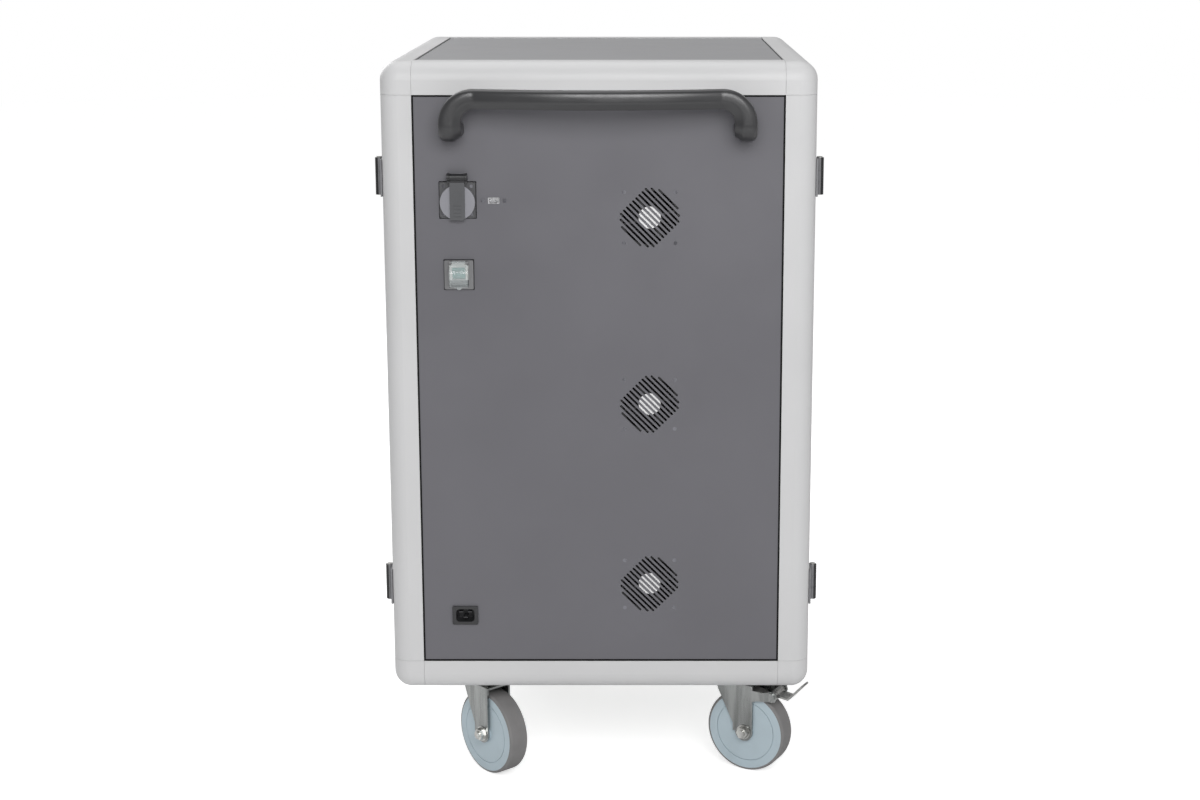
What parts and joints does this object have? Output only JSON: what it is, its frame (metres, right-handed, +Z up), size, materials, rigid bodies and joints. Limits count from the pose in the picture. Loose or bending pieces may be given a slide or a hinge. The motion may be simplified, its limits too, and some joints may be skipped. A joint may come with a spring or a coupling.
{
  "type": "laptop charging cart",
  "caption": "Closed charging cabinet for laptops on four swivel casters, with side doors, push handle, fan grilles, outlet, breaker and power inlet.",
  "frame": {"origin": "on the floor under the middle of the whole cart, push handle included", "axes": "+X to the right door when facing the handle end, +Y from the handle end to the far end, +Z up"},
  "size_m": [0.6302, 0.72, 1.06],
  "materials": {
    "frame_grey": "satin light grey powder coat",
    "corner_grey": "satin light grey powder coat",
    "panel_grey": "fine textured dark grey powder coat",
    "top_grey": "fine textured dark grey powder coat",
    "zinc_steel": "zinc plated",
    "handle_black": "satin black moulding",
    "inner_steel": "light grey powder coat",
    "strip_black": "satin black",
    "box_grey": "light grey casing",
    "cable_black": "matte black sheath",
    "fan_black": "satin black",
    "screw_dark": "blackened",
    "socket_plate": "satin grey plate",
    "socket_black": "satin black",
    "flap_grey": "satin grey",
    "port_metal": "bright plated shell",
    "breaker_dark": "satin dark grey",
    "breaker_white": "satin off-white",
    "toggle_teal": "glossy teal",
    "cover_tint": "clear tinted moulding",
    "hinge_black": "satin black",
    "lock_metal": "plated",
    "fork_zinc": "zinc plated pressed steel",
    "axle_steel": "zinc plated",
    "wheel_blue": "pale blue-grey moulding",
    "tread_grey": "soft grey tread",
    "pedal_zinc": "zinc plated pressed steel"
  },
  "bodies": {
    "cart": {"frame_posts": "frame_grey", "frame_top_rails": "frame_grey", "frame_bottom_rails": "frame_grey", "frame_corners": "corner_grey", "base_plate": "zinc_steel", "top_panel": "top_grey", "handle_end_panel": "panel_grey", "far_end_panel": "panel_grey", "push_handle": "handle_black", "handle_bolts": "zinc_steel", "partition_wall": "inner_steel", "device_shelves": "inner_steel", "divider_plates": "inner_steel", "adapter_trays": "inner_steel", "power_strips": "strip_black", "control_box": "box_grey", "mains_cables": "cable_black", "fan_frames": "fan_black", "panel_screws": "screw_dark", "outlet_socket": "socket_plate", "data_port": "port_metal", "breaker_frame": "breaker_dark", "breaker_body": "breaker_white", "power_inlet": "socket_black", "hinge_frame_leaves": "hinge_black", "hinge_pins": "zinc_steel", "caster_plates": "zinc_steel", "caster_bolts": "zinc_steel"},
    "door_front": {"front_door": "panel_grey", "front_door_leaves": "hinge_black", "front_lock_barrel": "lock_metal"},
    "lock_front": {"front_lock_plug": "lock_metal"},
    "door_rear": {"rear_door": "panel_grey", "rear_door_leaves": "hinge_black", "rear_lock_barrel": "lock_metal"},
    "lock_rear": {"rear_lock_plug": "lock_metal"},
    "flap": {"outlet_flap": "flap_grey"},
    "toggle": {"breaker_toggle": "toggle_teal"},
    "cover": {"breaker_cover": "cover_tint"},
    "rotor_low": {"fan_rotor_low": "fan_black"},
    "rotor_mid": {"fan_rotor_mid": "fan_black"},
    "rotor_high": {"fan_rotor_high": "fan_black"},
    "caster_near_left": {"fork_near_left": "fork_zinc", "axle_near_left": "axle_steel"},
    "roller_near_left": {"wheel_near_left": "wheel_blue", "tyre_near_left": "tread_grey"},
    "caster_near_right": {"fork_near_right": "fork_zinc", "axle_near_right": "axle_steel"},
    "roller_near_right": {"wheel_near_right": "wheel_blue", "tyre_near_right": "tread_grey"},
    "brake_near_right": {"pedal_near_right": "pedal_zinc"},
    "caster_far_left": {"fork_far_left": "fork_zinc", "axle_far_left": "axle_steel"},
    "roller_far_left": {"wheel_far_left": "wheel_blue", "tyre_far_left": "tread_grey"},
    "caster_far_right": {"fork_far_right": "fork_zinc", "axle_far_right": "axle_steel"},
    "roller_far_right": {"wheel_far_right": "wheel_blue", "tyre_far_right": "tread_grey"},
    "brake_far_right": {"pedal_far_right": "pedal_zinc"}
  },
  "joints": [
    {"name": "front_door_hinge", "type": "hinge", "parent": "cart", "child": "door_front", "pos_m": [0.3091, -0.2335, 0.605], "axis": [0, 0, -1], "range_deg": [0, 180]},
    {"name": "front_lock_turn", "type": "hinge", "parent": "door_front", "child": "lock_front", "pos_m": [0.3025, 0.284, 0.605], "axis": [-1, 0, 0], "range_deg": [0, 90]},
    {"name": "rear_door_hinge", "type": "hinge", "parent": "cart", "child": "door_rear", "pos_m": [-0.3091, -0.2335, 0.605], "axis": [0, 0, 1], "range_deg": [0, 180]},
    {"name": "rear_lock_turn", "type": "hinge", "parent": "door_rear", "child": "lock_rear", "pos_m": [-0.3025, 0.284, 0.605], "axis": [-1, 0, 0], "range_deg": [0, 90]},
    {"name": "outlet_flap_hinge", "type": "hinge", "parent": "cart", "child": "flap", "pos_m": [-0.196, -0.287, 0.9025], "axis": [-1, 0, 0], "range_deg": [0, 105], "stiffness_Nm_per_rad": 0.02, "springref_deg": -34.38},
    {"name": "breaker_cover_hinge", "type": "hinge", "parent": "cart", "child": "cover", "pos_m": [-0.196, -0.2845, 0.7825], "axis": [-1, 0, 0], "range_deg": [0, 95]},
    {"name": "breaker_toggle_turn", "type": "hinge", "parent": "cart", "child": "toggle", "pos_m": [-0.196, -0.2745, 0.765], "axis": [1, 0, 0], "range_deg": [0, 70]},
    {"name": "fan_rotor_low_spin", "type": "hinge", "parent": "cart", "child": "rotor_low", "pos_m": [0.0705, -0.2645, 0.312], "axis": [0, 1, 0], "continuous": true},
    {"name": "fan_rotor_mid_spin", "type": "hinge", "parent": "cart", "child": "rotor_mid", "pos_m": [0.0705, -0.2645, 0.5785], "axis": [0, 1, 0], "continuous": true},
    {"name": "fan_rotor_high_spin", "type": "hinge", "parent": "cart", "child": "rotor_high", "pos_m": [0.0705, -0.2645, 0.845], "axis": [0, 1, 0], "continuous": true},
    {"name": "caster_near_left_swivel", "type": "hinge", "parent": "cart", "child": "caster_near_left", "pos_m": [-0.188, -0.187, 0.133], "axis": [0, 0, 1], "continuous": true},
    {"name": "wheel_near_left_spin", "type": "hinge", "parent": "caster_near_left", "child": "roller_near_left", "pos_m": [-0.16257, -0.21524, 0.0625], "axis": [0.7431, 0.6691, 0], "continuous": true},
    {"name": "caster_near_right_swivel", "type": "hinge", "parent": "cart", "child": "caster_near_right", "pos_m": [0.188, -0.187, 0.133], "axis": [0, 0, 1], "continuous": true},
    {"name": "wheel_near_right_spin", "type": "hinge", "parent": "caster_near_right", "child": "roller_near_right", "pos_m": [0.22155, -0.20484, 0.0625], "axis": [0.4695, 0.8829, 0], "continuous": true},
    {"name": "brake_near_right_press", "type": "hinge", "parent": "caster_near_right", "child": "brake_near_right", "pos_m": [0.26004, -0.22531, 0.12476], "axis": [0.4695, 0.8829, 0], "range_deg": [0, 20]},
    {"name": "caster_far_left_swivel", "type": "hinge", "parent": "cart", "child": "caster_far_left", "pos_m": [-0.188, 0.267, 0.133], "axis": [0, 0, 1], "continuous": true},
    {"name": "wheel_far_left_spin", "type": "hinge", "parent": "caster_far_left", "child": "roller_far_left", "pos_m": [-0.16067, 0.2406, 0.0625], "axis": [0.6947, 0.7193, 0], "continuous": true},
    {"name": "caster_far_right_swivel", "type": "hinge", "parent": "cart", "child": "caster_far_right", "pos_m": [0.188, 0.267, 0.133], "axis": [0, 0, 1], "continuous": true},
    {"name": "wheel_far_right_spin", "type": "hinge", "parent": "caster_far_right", "child": "roller_far_right", "pos_m": [0.21874, 0.24466, 0.0625], "axis": [0.5878, 0.809, 0], "continuous": true},
    {"name": "brake_far_right_press", "type": "hinge", "parent": "caster_far_right", "child": "brake_far_right", "pos_m": [0.25401, 0.21904, 0.12476], "axis": [0.5878, 0.809, 0], "range_deg": [0, 20]}
  ]
}
